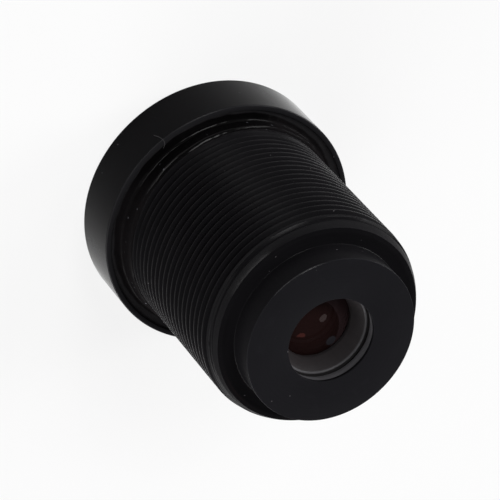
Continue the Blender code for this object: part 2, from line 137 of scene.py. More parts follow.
class Sheet:
    """A node graph that is written as expressions."""

    # The Mix node's colour sockets share their names with others, so they go by number.
    MIX_FIRST, MIX_SECOND, MIX_RESULT = 6, 7, 2

    def __init__(self, tree: bpy.types.NodeTree) -> None:
        """Empties the tree.

        Args:
            tree: node tree of a material or of the world.
        """
        self.tree = tree
        tree.nodes.clear()

    def node(self, kind: str, settings: Mapping[str, Any] | None = None,
             inputs: Mapping[str | int, Any] | None = None) -> bpy.types.Node:
        """Adds any node.

        Args:
            kind: the node's Blender type.
            settings: properties that are set first.
            inputs: values or links by the socket's name or number.

        Returns:
            The new node.
        """
        made = self.tree.nodes.new(kind)
        for name, value in (settings or {}).items():
            setattr(made, name, value)
        for name, value in (inputs or {}).items():
            socket = made.inputs[name]
            source = value.socket if isinstance(value, Shade) else value
            if isinstance(source, bpy.types.NodeSocket):
                self.tree.links.new(source, socket)
            else:
                socket.default_value = source
        return made

    def number(self, kind: str, settings: Mapping[str, Any] | None = None,
               inputs: Mapping[str | int, Any] | None = None, output: str | int = 0) -> Shade:
        """Adds a node and wraps one of its outputs as a number.

        Args:
            kind: the node's Blender type.
            settings: properties that are set first.
            inputs: values or links by the socket's name or number.
            output: name or number of the output.

        Returns:
            The output as a number for expressions.
        """
        return Shade(self, self.node(kind, settings, inputs).outputs[output])

    def place(self) -> bpy.types.NodeSocket:
        """Position in the object's own coordinates, in metres."""
        return self.node("ShaderNodeTexCoord").outputs["Object"]

    def axes(self, place: bpy.types.NodeSocket) -> tuple[Shade, Shade, Shade]:
        """Splits a position.

        Args:
            place: position, in metres.

        Returns:
            Its three coordinates, in millimetres.
        """
        split = self.node("ShaderNodeSeparateXYZ", None, {0: place})
        x, y, z = (Shade(self, output) * (1 / MM) for output in split.outputs)
        return x, y, z

    def rise(self, value: Shade, low: float, high: float) -> Shade:
        """Smooth step.

        Args:
            value: the number that rises.
            low: where the step starts.
            high: where it ends.

        Returns:
            0 below the step, 1 above it.
        """
        return self.number("ShaderNodeMapRange", {"interpolation_type": "SMOOTHSTEP"},
                           {"Value": value, "From Min": low, "From Max": high})

    def cloud(self, place: bpy.types.NodeSocket, per_mm: float, detail: float = 2.0,
              roughness: float = 0.5) -> Shade:
        """Soft noise through space.

        Args:
            place: position, in metres.
            per_mm: how many features fall in a millimetre.
            detail: octaves of finer noise.
            roughness: strength of the finer noise.

        Returns:
            Noise between 0 and 1.
        """
        return self.number("ShaderNodeTexNoise", None, {
            "Vector": place, "Scale": per_mm / MM, "Detail": detail, "Roughness": roughness})

    def lines(self, along: Shade, per_mm: float, detail: float = 2.0,
              roughness: float = 0.6) -> Shade:
        """Noise along one direction, such as the marks of a turning tool.

        Args:
            along: distance, in millimetres.
            per_mm: how many marks fall in a millimetre.
            detail: octaves of finer marks.
            roughness: strength of the finer marks.

        Returns:
            Noise between 0 and 1.
        """
        return self.number("ShaderNodeTexNoise", {"noise_dimensions": "1D"}, {
            "W": along, "Scale": per_mm, "Detail": detail, "Roughness": roughness})

    def specks(self, place: bpy.types.NodeSocket, per_mm: float, reach: float) -> Shade:
        """Scattered specks of dust.

        Args:
            place: position, in metres.
            per_mm: how many grains fall on a millimetre of space, of which few touch a surface.
            reach: radius of the largest speck, in millimetres.

        Returns:
            1 on a speck, 0 between them.
        """
        away = self.number("ShaderNodeTexVoronoi", None, {
            "Vector": place, "Scale": per_mm / MM}, "Distance")
        edge = reach * per_mm
        return 1.0 - self.rise(away, edge / 2, edge)

    def tint(self, factor: Shade, low: Any, high: Any) -> bpy.types.NodeSocket:
        """Colour between two colours.

        Args:
            factor: 0 for the first colour, 1 for the second.
            low: the first colour, or a link to one.
            high: the second colour, or a link to one.

        Returns:
            The mixed colour.
        """
        first, second = (
            (*colour, 1.0) if isinstance(colour, tuple) else colour for colour in (low, high))
        made = self.node("ShaderNodeMix", {"data_type": "RGBA"}, {
            "Factor": factor, self.MIX_FIRST: first, self.MIX_SECOND: second})
        return made.outputs[self.MIX_RESULT]

    def scaled(self, colour: bpy.types.NodeSocket, by: Shade) -> bpy.types.NodeSocket:
        """Colour made lighter or darker.

        Args:
            colour: the colour.
            by: factor for its three channels.

        Returns:
            The product.
        """
        made = self.node("ShaderNodeVectorMath", {"operation": "SCALE"}, {0: colour, "Scale": by})
        return made.outputs[0]

    def glazed(self, body: bpy.types.NodeSocket, share: Shade,
               roughness: float) -> bpy.types.NodeSocket:
        """Lays a gloss over a shader.

        Args:
            body: the shader below.
            share: how much of the light the gloss returns, between 0 and 1.
            roughness: roughness of the gloss.

        Returns:
            The shader of both.
        """
        gloss = self.node("ShaderNodeBsdfGlossy", None, {"Roughness": roughness})
        return self.node("ShaderNodeMixShader", None, {
            0: share.capped(1.0), 1: body, 2: gloss.outputs[0]}).outputs[0]

    def bump(self, height: Shade, distance: float) -> bpy.types.NodeSocket:
        """Small relief at full strength.

        Args:
            height: relief between 0 and 1.
            distance: height of the relief, in millimetres.

        Returns:
            The normal for a shader.
        """
        made = self.node("ShaderNodeBump", None, {
            "Height": height, "Distance": distance * MM, "Strength": 1.0})
        return made.outputs[0]


@dataclass(frozen=True)
class Finish:
    """What all finishes share: a name, and a Principled shader below what they add."""

    name: str

    def _weave(self, sheet: Sheet) -> dict[str, Any]:
        """Values and links of the Principled shader.

        Args:
            sheet: the material's graph.

        Returns:
            Values and links by the name of the shader's socket.
        """
        raise NotImplementedError

    def material(self) -> bpy.types.Material:
        """Makes the material.

        Returns:
            A new material with the finish's graph.
        """
        made = bpy.data.materials.new(self.name)
        made.use_nodes = True
        sheet = Sheet(made.node_tree)
        sheet.node("ShaderNodeOutputMaterial", None, {"Surface": self._shader(sheet)})
        return made

    def _shader(self, sheet: Sheet) -> bpy.types.NodeSocket:
        """Builds the surface.

        Args:
            sheet: the material's graph.

        Returns:
            The shader's output.
        """
        return sheet.node("ShaderNodeBsdfPrincipled", None, self._weave(sheet)).outputs[0]


@dataclass(frozen=True)
class RubbedEdge:
    """A turned edge that handling has rubbed, and how much it shines."""

    radius: float
    height: float
    all_round: float
    on_worn_side: float = 0.0


@dataclass(frozen=True)
class AnodisedFinish(Finish):
    """Turned aluminium, dyed black: fine tool marks, grain, and wear on what stands proud.

    A size that is NOWHERE leaves its feature out. A range gives where a feature starts to show
    and where it is full. The worn side is a direction across the axis.
    """

    colour: Colour = (0.0100, 0.0098, 0.0114)
    # Colour of the surfaces below the top faces; the top faces take colour, which is lighter.
    colour_below_top: Colour = (0.0056, 0.0053, 0.0061)
    top_face_from: float = NOWHERE
    top_face_fade: float = 0.02
    roughness: float = 0.32
    matte_roughness: float = 0.1
    gloss: float = 0.014
    gloss_roughness: float = 0.18

    marks_per_mm: float = 14.0
    mark_slant: float = 0.8
    mark_contrast: float = 0.22
    mark_roughness: float = 0.08
    grain_per_mm: float = 26.0
    grain_contrast: float = 0.22
    broad_per_mm: float = 0.35
    broad_contrast: float = 0.30
    broad_roughness: float = 0.10
    handled_per_mm: float = 1.3
    handled_range: tuple[float, float] = (0.58, 0.74)
    handled_contrast: float = 0.10
    mark_relief: float = 0.5
    grain_relief: float = 0.5
    relief: float = 0.0025

    worn: Colour = (0.0092, 0.0086, 0.0094)
    wear_per_mm: float = 1.6
    wear_range: tuple[float, float] = (0.30, 0.70)
    crest_radius: float = NOWHERE
    crest_depth: float = 0.05
    crest_share: float = 0.001
    crest_grazing: float = 0.0
    grazing_gain: float = 0.0
    grazing_power: float = 7.7

    polished: tuple[float, float] = (NOWHERE, NOWHERE)
    polished_radius: float = 0.0
    polished_growth: float = 0.0
    polished_fade: tuple[float, float] = (0.05, 0.02)
    polish_share: float = 0.006
    polish_in_grooves: float = 0.1
    groove_range: tuple[float, float] = (-0.06, -0.02)

    edges: tuple[RubbedEdge, ...] = ()
    edge_range: tuple[float, float] = (0.025, 0.07)
    worn_side: tuple[float, float] = (-0.17, -0.98)
    worn_side_range: tuple[float, float] = (0.92, 0.99)

    dust: Colour = (0.085, 0.080, 0.085)
    specks_per_mm: float = 1.25
    speck_reach: float = 0.04

    def _shader(self, sheet: Sheet) -> bpy.types.NodeSocket:
        """Adds the gloss of a grazing look, of the polished band and of the rubbed edges.

        Args:
            sheet: the material's graph.

        Returns:
            The shader's output.
        """
        body = super()._shader(sheet)
        x, y, z = sheet.axes(sheet.place())
        radius = x.diagonal(y)
        facing = sheet.number("ShaderNodeLayerWeight", None, {"Blend": 0.5}, "Facing")
        grazing = facing ** self.grazing_power
        share = grazing * self.grazing_gain + self._band(sheet, radius, z) * self.polish_share
        crest_gloss = grazing * self.crest_grazing + self.crest_share
        share = share + self._crest(sheet, radius) * crest_gloss
        towards = (x * self.worn_side[0] + y * self.worn_side[1]) / radius
        side = sheet.rise(towards, *self.worn_side_range)
        for edge in self.edges:
            near = self._near(sheet, radius - edge.radius, z - edge.height)
            share = share + near * (side * edge.on_worn_side + edge.all_round)
        return sheet.glazed(body, share, self.gloss_roughness)

    def _crest(self, sheet: Sheet, radius: Shade) -> Shade:
        """The proud crests of the thread.

        Args:
            sheet: the material's graph.
            radius: distance from the axis.

        Returns:
            1 on the crests, 0 below them.
        """
        return sheet.rise(radius, self.crest_radius - self.crest_depth, self.crest_radius)

    def _band(self, sheet: Sheet, radius: Shade, height: Shade) -> Shade:
        """Where the metal was turned to a finer finish.

        Args:
            sheet: the material's graph.
            radius: distance from the axis.
            height: level on the axis.

        Returns:
            1 on the cone of the band, little in the grooves below it, 0 outside it.
        """
        low, high = self.polished
        fade_in, fade_out = self.polished_fade
        band = sheet.rise(height, low, low + fade_in) - sheet.rise(height, high, high + fade_out)
        proud = radius - self.polished_radius - (high - height) * self.polished_growth
        on_cone = sheet.rise(proud, *self.groove_range)
        return band * (self.polish_in_grooves + on_cone * (1.0 - self.polish_in_grooves))

    def _near(self, sheet: Sheet, across: Shade, up: Shade) -> Shade:
        """Where handling has rubbed an edge.

        Args:
            sheet: the material's graph.
            across: distance from the edge outwards.
            up: distance from the edge along the axis.

        Returns:
            1 on the edge, 0 away from it.
        """
        return 1.0 - sheet.rise(across.diagonal(up), *self.edge_range)

    def _weave(self, sheet: Sheet) -> dict[str, Any]:
        """Tool marks round the axis, with grain and signs of handling everywhere.

        Args:
            sheet: the material's graph.

        Returns:
            Values and links for the shader.
        """
        place = sheet.place()
        x, y, z = sheet.axes(place)
        radius = x.diagonal(y)
        marks = sheet.lines(radius + z * self.mark_slant, self.marks_per_mm, detail=3.0)
        broad = sheet.cloud(place, self.broad_per_mm)
        grain = sheet.cloud(place, self.grain_per_mm, detail=1.0)
        touched = sheet.cloud(place, self.handled_per_mm, detail=3.0, roughness=0.6)
        handled = sheet.rise(touched, *self.handled_range)
        shade = 1.0 + (marks - 0.5) * self.mark_contrast + (broad - 0.5) * self.broad_contrast
        shade = shade + (grain - 0.5) * self.grain_contrast + handled * self.handled_contrast
        patches = sheet.cloud(place, self.wear_per_mm, detail=3.0, roughness=0.6)
        wear = self._crest(sheet, radius) * sheet.rise(patches, *self.wear_range)
        # The top faces, from a given height up, take the lighter colour; all below takes the
        # darker one.
        matte = sheet.rise(z, self.top_face_from, self.top_face_from + self.top_face_fade)
        plain = sheet.tint(matte, self.colour_below_top, self.colour)
        specks = sheet.specks(place, self.specks_per_mm, self.speck_reach)
        dusted = sheet.tint(specks, sheet.tint(wear, plain, self.worn), self.dust)
        roughness = self.roughness + (broad - 0.5) * self.broad_roughness
        roughness = roughness + (marks - 0.5) * self.mark_roughness + matte * self.matte_roughness
        relief = marks * (self.mark_relief + self._band(sheet, radius, z))
        relief = relief + grain * self.grain_relief
        return {"Base Color": sheet.scaled(dusted, shade), "Roughness": roughness,
                "Specular IOR Level": self.gloss, "Normal": sheet.bump(relief, self.relief)}


@dataclass(frozen=True)
class NoseRingFinish(Finish):
    """Turned ring in the nose: dull cone, painted rim highlight, painted ledge shade, lighter
    upper wall.
    """

    cone: Colour = (0.033, 0.029, 0.0305)
    # Lighter colour of the upper wall.
    bare: Colour = (0.082, 0.080, 0.086)
    # Painted highlight: light colour on the rim for the bright arc of the cone's rounded top edge.
    rim: Colour = (0.075, 0.073, 0.078)
    # Painted shade: dark colour on the ledge for the shadow under the lip.
    ledge: Colour = (0.0170, 0.0160, 0.0165)
    upper_wall_range: tuple[float, float] = (15.14, 15.16)
    rim_highlight_range: tuple[float, float] = (2.33, 2.37)
    ledge_shade_range: tuple[float, float] = (2.42, 2.47)
    rings_per_mm: float = 22.0
    ring_contrast: float = 0.3
    ring_roughness: float = 0.2
    streaks_per_radian: float = 4.0
    streak_contrast: float = 0.3
    darkest: float = 0.75
    gloss: float = 0.2
    roughness: float = 0.45
    relief: float = 0.002

    def _weave(self, sheet: Sheet) -> dict[str, Any]:
        """Lighter upper wall, painted rim highlight and ledge shade, fine rings, faint streaks
        down the cone.

        Args:
            sheet: the material's graph.

        Returns:
            Values and links for the shader.
        """
        place = sheet.place()
        x, y, z = sheet.axes(place)
        radius = x.diagonal(y)
        bare = sheet.rise(z, *self.upper_wall_range)
        # Masks of the painted rim highlight and the painted ledge shade.
        edge = sheet.rise(radius, *self.rim_highlight_range)
        dark = sheet.rise(radius, *self.ledge_shade_range)
        rings = sheet.lines(z + radius, self.rings_per_mm)
        streaks = sheet.lines(y.bearing(x), self.streaks_per_radian, detail=3.0)
        shade = self.darkest + rings * self.ring_contrast + streaks * self.streak_contrast
        # Cone colour with a painted highlight on the rim and painted shade on the ledge.
        low = sheet.tint(dark, sheet.tint(edge, self.cone, self.rim), self.ledge)
        colour = sheet.scaled(sheet.tint(bare, low, self.bare), shade)
        roughness = self.roughness + (rings - 0.5) * self.ring_roughness
        return {"Base Color": colour, "Roughness": roughness, "Specular IOR Level": self.gloss,
                "Normal": sheet.bump(rings, self.relief)}


@dataclass(frozen=True)
class AdhesiveFinish(Finish):
    """Cured black thread-locking adhesive: glossy, rippled, with specks of dust and painted
    glints.

    Towards the head's wall it thins to a smear, which is widest on the lens's rear side. A dull
    film lies over it, except where the side away from film_side was wiped.
    """

    colour: Colour = (0.0016, 0.0014, 0.0016)
    gloss: float = 0.010
    film_gloss: float = 0.0006
    roughness: float = 0.15
    body_gloss: float = 0.01
    body_roughness: float = 0.7
    relief: float = 0.03

    grain_per_mm: float = 22.0
    grain_contrast: float = 0.4
    ripples_per_mm: float = 1.6
    ripple_share: float = 0.8

    film: Colour = (0.0048, 0.0042, 0.0046)
    film_side: tuple[float, float] = (0.34, 0.94)
    film_range: tuple[float, float] = (-5.5, -4.4)
    film_per_mm: float = 0.8
    film_least: float = 0.55
    film_patches: float = 0.8

    smear: Colour = (0.0155, 0.0148, 0.0160)
    smear_range: tuple[float, float] = (6.33, 6.45)
    smear_swing: float = 0.25
    smear_per_mm: float = 0.7
    smear_waviness: float = 0.3

    # Pale specks above the foot: partly dust, partly painted glints.
    dust: Colour = (0.080, 0.080, 0.090)
    specks_per_mm: float = 2.2
    speck_reach: float = 0.07
    dust_and_glint_range: tuple[float, float] = (3.25, 3.35)

    def _shader(self, sheet: Sheet) -> bpy.types.NodeSocket:
        """Adds the gloss of the skin where no film dulls it.

        Args:
            sheet: the material's graph.

        Returns:
            The shader's output.
        """
        body = super()._shader(sheet)
        bare = 1.0 - self._film(sheet, sheet.place())
        share = bare.at_least(0.0) * self.gloss + self.film_gloss
        return sheet.glazed(body, share, self.roughness)

    def _film(self, sheet: Sheet, place: bpy.types.NodeSocket) -> Shade:
        """Dull film, in patches, away from the side that was wiped.

        Args:
            sheet: the material's graph.
            place: position, in metres.

        Returns:
            0 on the bare skin, about 1 under the film.
        """
        x, y, _ = sheet.axes(place)
        towards = x * self.film_side[0] + y * self.film_side[1]
        patches = sheet.cloud(place, self.film_per_mm, detail=3.0, roughness=0.6)
        patchy = self.film_least + patches * self.film_patches
        return sheet.rise(towards, *self.film_range) * patchy

    def _weave(self, sheet: Sheet) -> dict[str, Any]:
        """Dull film, thin smear at the head's wall, specks of dust and painted glints, and a soft
        ripple.

        Args:
            sheet: the material's graph.

        Returns:
            Values and links for the shader.
        """
        place = sheet.place()
        x, y, z = sheet.axes(place)
        radius = x.diagonal(y)
        wavy = (sheet.cloud(place, self.smear_per_mm) - 0.5) * self.smear_waviness
        reach = radius + y / radius * self.smear_swing + wavy
        thin = sheet.rise(reach, *self.smear_range)
        grain = sheet.cloud(place, self.grain_per_mm)
        specks = sheet.specks(place, self.specks_per_mm, self.speck_reach)
        # Pale specks above the foot, which are dust and painted glints.
        dust_and_glint_specks = specks * sheet.rise(z, *self.dust_and_glint_range)
        skin = sheet.tint(self._film(sheet, place), self.colour, self.film)
        skin = sheet.tint(dust_and_glint_specks, sheet.tint(thin, skin, self.smear), self.dust)
        shade = 1.0 - self.grain_contrast / 2 + grain * self.grain_contrast
        ripple = sheet.cloud(place, self.ripples_per_mm) * self.ripple_share
        ripple = ripple + grain * (1.0 - self.ripple_share)
        return {"Base Color": sheet.scaled(skin, shade), "Roughness": self.body_roughness,
                "Specular IOR Level": self.body_gloss,
                "Normal": sheet.bump(ripple, self.relief)}


@dataclass(frozen=True)
class GlassFinish(Finish):
    """Coated lens element: clear body, tinted reflection, a little dust.

    What shines from the surfaces further in is painted into the colour: painted shade near the
    round stop's edge, a paler painted zone past it, and a painted reflection, the small image of
    a lamp. Either is left out where its reach is 0.
    """

    coat: Colour
    body: Colour = (0.80, 0.82, 0.84)
    clear: float = 0.95
    gloss: float = 0.5
    index: float = 1.6
    roughness: float = 0.01
    dust_per_mm: float = 2.2
    dust_shade: float = 0.9
    dust_roughness: float = 0.02

    # Painted shade towards the round stop's edge, and a paler painted zone past it.
    painted_stop_place: tuple[float, float] = (0.0, 0.0)
    painted_stop_reach: float = 0.0
    painted_stop_shade: float = 0.30
    painted_stop_shade_width: float = 0.9
    painted_stop_fade: float = 0.05
    painted_beyond_stop: Colour = (0.0420, 0.0245, 0.0265)
    # Painted reflection: a soft spot of colour, the small image of a lamp.
    painted_ghost_place: tuple[float, float] = (0.0, 0.0)
    painted_ghost_reach: float = 0.0
    painted_ghost_core: float = 0.7
    painted_ghost_colour: Colour = (0.045, 0.043, 0.051)

    def _weave(self, sheet: Sheet) -> dict[str, Any]:
        """Thin film of dust, and the painted shade and light of the surfaces further in.

        Args:
            sheet: the material's graph.

        Returns:
            Values and links for the shader.
        """
        place = sheet.place()
        film = sheet.cloud(place, self.dust_per_mm, detail=3.0)
        dusty = tuple(self.dust_shade * part for part in self.body)
        colour = sheet.tint(film, self.body, dusty)
        # Painted shade towards the round stop's edge, then a paler painted zone past it.
        if self.painted_stop_reach:
            away = self._away(sheet, place, self.painted_stop_place)
            shade = sheet.rise(away, self.painted_stop_reach - self.painted_stop_shade_width, self.painted_stop_reach)
            colour = sheet.scaled(colour, 1.0 - shade * self.painted_stop_shade)
            beyond = sheet.rise(away, self.painted_stop_reach, self.painted_stop_reach + self.painted_stop_fade)
            colour = sheet.tint(beyond, colour, self.painted_beyond_stop)
        # Painted reflection of a lamp, a soft spot of colour.
        if self.painted_ghost_reach:
            away = self._away(sheet, place, self.painted_ghost_place)
            core = self.painted_ghost_reach * self.painted_ghost_core
            spot = 1.0 - sheet.rise(away, core, self.painted_ghost_reach)
            colour = sheet.tint(spot, colour, self.painted_ghost_colour)
        return {"Base Color": colour, "Roughness": self.roughness + film * self.dust_roughness,
                "Transmission Weight": self.clear, "IOR": self.index,
                "Specular IOR Level": self.gloss, "Specular Tint": (*self.coat, 1.0)}

    @staticmethod
    def _away(sheet: Sheet, place: bpy.types.NodeSocket, middle: tuple[float, float]) -> Shade:
        """Distance from a line along the axis.

        Args:
            sheet: the material's graph.
            place: position, in metres.
            middle: where the line crosses the element, in millimetres.

        Returns:
            The distance, in millimetres.
        """
        x, y, _ = sheet.axes(place)
        return (x - middle[0]).diagonal(y - middle[1])


@dataclass(frozen=True)
class DullFinish(Finish):
    """Rubber or blackened film: matte and faintly uneven."""

    colour: Colour = (0.006, 0.006, 0.006)
    light_gain: float = 1.6
    gloss: float = 0.1
    roughness: float = 0.8
    grain_per_mm: float = 18.0
    grain_roughness: float = 0.15
    relief: float = 0.004

    def _weave(self, sheet: Sheet) -> dict[str, Any]:
        """Fine grain in colour and relief.

        Args:
            sheet: the material's graph.

        Returns:
            Values and links for the shader.
        """
        grain = sheet.cloud(sheet.place(), self.grain_per_mm, detail=3.0)
        light = tuple(self.light_gain * part for part in self.colour)
        return {"Base Color": sheet.tint(grain, self.colour, light),
                "Roughness": self.roughness + (grain - 0.5) * self.grain_roughness,
                "Specular IOR Level": self.gloss, "Normal": sheet.bump(grain, self.relief)}


@dataclass(frozen=True)
class LintFinish(Finish):
    """Pale, dull textile fibre."""

    colour: Colour = (0.045, 0.042, 0.045)
    dark_share: float = 0.5
    grain_per_mm: float = 30.0
    gloss: float = 0.2
    roughness: float = 0.7

    def _weave(self, sheet: Sheet) -> dict[str, Any]:
        """Uneven paleness.

        Args:
            sheet: the material's graph.

        Returns:
            Values and links for the shader.
        """
        grain = sheet.cloud(sheet.place(), self.grain_per_mm)
        dark = tuple(self.dark_share * part for part in self.colour)
        return {"Base Color": sheet.tint(grain, dark, self.colour), "Roughness": self.roughness,
                "Specular IOR Level": self.gloss}


# Modelling

def deselect_all() -> None:
    """Leaves edit mode and clears the selection."""
    if bpy.context.mode != "OBJECT":
        bpy.ops.object.mode_set(mode="OBJECT")
    bpy.ops.object.select_all(action="DESELECT")


def single_point(place: Sequence[float]) -> bpy.types.Object:
    """Starts a chain of edges with one vertex.

    Args:
        place: where the vertex lies, in metres.

    Returns:
        The object, in edit mode with the vertex selected.
    """
    deselect_all()
    bpy.ops.mesh.primitive_plane_add(size=MM / 10, location=place)
    bpy.ops.object.transform_apply(location=True, rotation=True, scale=True)
    bpy.ops.object.mode_set(mode="EDIT")
    bpy.ops.mesh.select_all(action="SELECT")
    bpy.ops.mesh.merge(type="CENTER")
    return bpy.context.object


def close_and_face_out(piece: bpy.types.Object) -> None:
    """Merges doubles and turns every face outwards.

    Args:
        piece: the finished shell.
    """
    deselect_all()
    piece.select_set(True)
    bpy.context.view_layer.objects.active = piece
    bpy.ops.object.mode_set(mode="EDIT")
    bpy.ops.mesh.select_all(action="SELECT")
    bpy.ops.mesh.remove_doubles(threshold=SAME_PLACE / 2)
    bpy.ops.mesh.normals_make_consistent(inside=False)
    bpy.ops.object.mode_set(mode="OBJECT")


def smooth(piece: bpy.types.Object) -> None:
    """Smooths the shading over the edges that are flatter than SMOOTH_ANGLE.

    Args:
        piece: the finished shell.
    """
    deselect_all()
    piece.select_set(True)
    bpy.context.view_layer.objects.active = piece
    bpy.ops.object.shade_smooth_by_angle(angle=SMOOTH_ANGLE)
    broad = piece.modifiers.new("broad_faces_first", "WEIGHTED_NORMAL")
    broad.keep_sharp = True
    bpy.ops.object.modifier_apply(modifier=broad.name)


def place_on_frame(piece: bpy.types.Object, name: str, slot: str, finish: Finish,
                   *instead_of: str) -> None:
    """Smooths, names and dresses a finished shell and hangs it on the frame.

    Args:
        piece: the shell.
        name: its name in the scene.
        slot: its material slot in the record; not used.
        finish: its looks.
        instead_of: CAD nodes that it replaces.
    """
    smooth(piece)
    piece.name = piece.data.name = name
    piece.data.materials.clear()
    piece.data.materials.append(finish.material())
    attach(piece, "root")
    for node in instead_of:
        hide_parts(node)
    LOG.info("%s: %d faces", name, len(piece.data.polygons))


@dataclass(frozen=True)
class Corner:
    """A corner of a turned outline, in millimetres, with the width of its rounding."""

    radius: float
    height: float
    edge: float = 0.0


def pick_rings(piece: bpy.types.Object, *corners: Corner) -> None:
    """Goes to edit mode with the edges selected that join vertices of some rings.

    Args:
        piece: the active object.
        corners: places of the rings.
    """
    bpy.ops.object.mode_set(mode="OBJECT")
    mesh = piece.data
    places = [(math.hypot(vertex.co.x, vertex.co.y), vertex.co.z) for vertex in mesh.vertices]
    chosen = [any(abs(reach - corner.radius * MM) < SAME_PLACE
                  and abs(level - corner.height * MM) < SAME_PLACE for corner in corners)
              for reach, level in places]
    mesh.vertices.foreach_set("select", chosen)
    mesh.edges.foreach_set(
        "select", [all(chosen[index] for index in edge.vertices) for edge in mesh.edges])
    mesh.polygons.foreach_set("select", [False] * len(mesh.polygons))
    bpy.ops.object.mode_set(mode="EDIT")


@dataclass(frozen=True)
class Dome:
    """A spherical glass surface: its reach from the axis and its depth at the rim."""

    reach: float
    depth: float

    def sag(self, radius: float) -> float:
        """Depth at a distance from the axis.

        Args:
            radius: the distance, in millimetres.

        Returns:
            How far the surface has fallen from its vertex there.
        """
        bend = (self.reach ** 2 + self.depth ** 2) / (2 * self.depth)
        return bend - math.sqrt(bend ** 2 - radius ** 2)

    def corners(self, vertex: float, side: int, steps: int) -> list[Corner]:
        """Outline from the vertex to the rim.

        Args:
            vertex: height of the vertex.
            side: 1 where the rim is above the vertex, -1 where it is below.
            steps: how many rings the surface gets.

        Returns:
            Corners from the axis outwards.
        """
        radii = [self.reach * math.sin(math.pi / 2 * step / steps) for step in range(steps + 1)]
        return [Corner(radius, vertex + side * self.sag(radius)) for radius in radii]


@dataclass(frozen=True)
class Lathe:
    """Turns outlines round the optical axis with edit-mode operators."""

    segments: int = 192
    bevel_steps: int = 3

    def start(self, corner: Corner) -> bpy.types.Object:
        """Begins a shell with one ring.

        Args:
            corner: place of the ring.

        Returns:
            The object, in edit mode with the ring selected.
        """
        deselect_all()
        bpy.ops.mesh.primitive_circle_add(
            vertices=self.segments, radius=corner.radius * MM,
            location=(0.0, 0.0, corner.height * MM), fill_type="NOTHING")
        bpy.ops.object.transform_apply(location=True, rotation=True, scale=True)
        piece = bpy.context.object
        bpy.ops.object.mode_set(mode="EDIT")
        bpy.ops.mesh.select_all(action="SELECT")
        return piece

    @staticmethod
    def cut(corners: Sequence[Corner]) -> None:
        """Extrudes the selected ring from the first corner to the others in turn.

        Args:
            corners: the outline, of which the first is where the ring is; one on the axis
                closes the shell there.
        """
        for last, new in zip(corners, corners[1:]):
            bpy.ops.mesh.extrude_edges_move(TRANSFORM_OT_translate={
                "value": (0.0, 0.0, (new.height - last.height) * MM)})
            if new.radius:
                ratio = new.radius / last.radius
                bpy.ops.transform.resize(value=(ratio, ratio, 1.0), center_override=(0, 0, 0))
            else:
                bpy.ops.mesh.merge(type="CENTER")

    def round_edges(self, piece: bpy.types.Object, corners: Sequence[Corner]) -> None:
        """Rounds the rings that have an edge width.

        Args:
            piece: the shell.
            corners: its outline.
        """
        for corner in corners:
            if corner.edge:
                pick_rings(piece, corner)
                bpy.ops.mesh.bevel(offset=corner.edge * MM, segments=self.bevel_steps,
                                   affect="EDGES", clamp_overlap=False)

    def closed(self, corners: Sequence[Corner]) -> bpy.types.Object:
        """Turns a ring-shaped body.

        Args:
            corners: its whole outline, each corner once.

        Returns:
            The closed shell.
        """
        piece = self.start(corners[0])
        self.cut(corners)
        pick_rings(piece, corners[0], corners[-1])
        bpy.ops.mesh.bridge_edge_loops()
        self.round_edges(piece, corners)
        close_and_face_out(piece)
        return piece

    def solid(self, corners: Sequence[Corner]) -> bpy.types.Object:
        """Turns a body that reaches the axis at both ends of its outline.

        Args:
            corners: its outline from the axis to the axis.

        Returns:
            The closed shell.
        """
        piece = self.start(corners[1])
        self.cut(corners[1:])
        pick_rings(piece, corners[1])
        self.cut([corners[1], corners[0]])
        self.round_edges(piece, corners)
        close_and_face_out(piece)
        return piece


# The lens, from the outside in

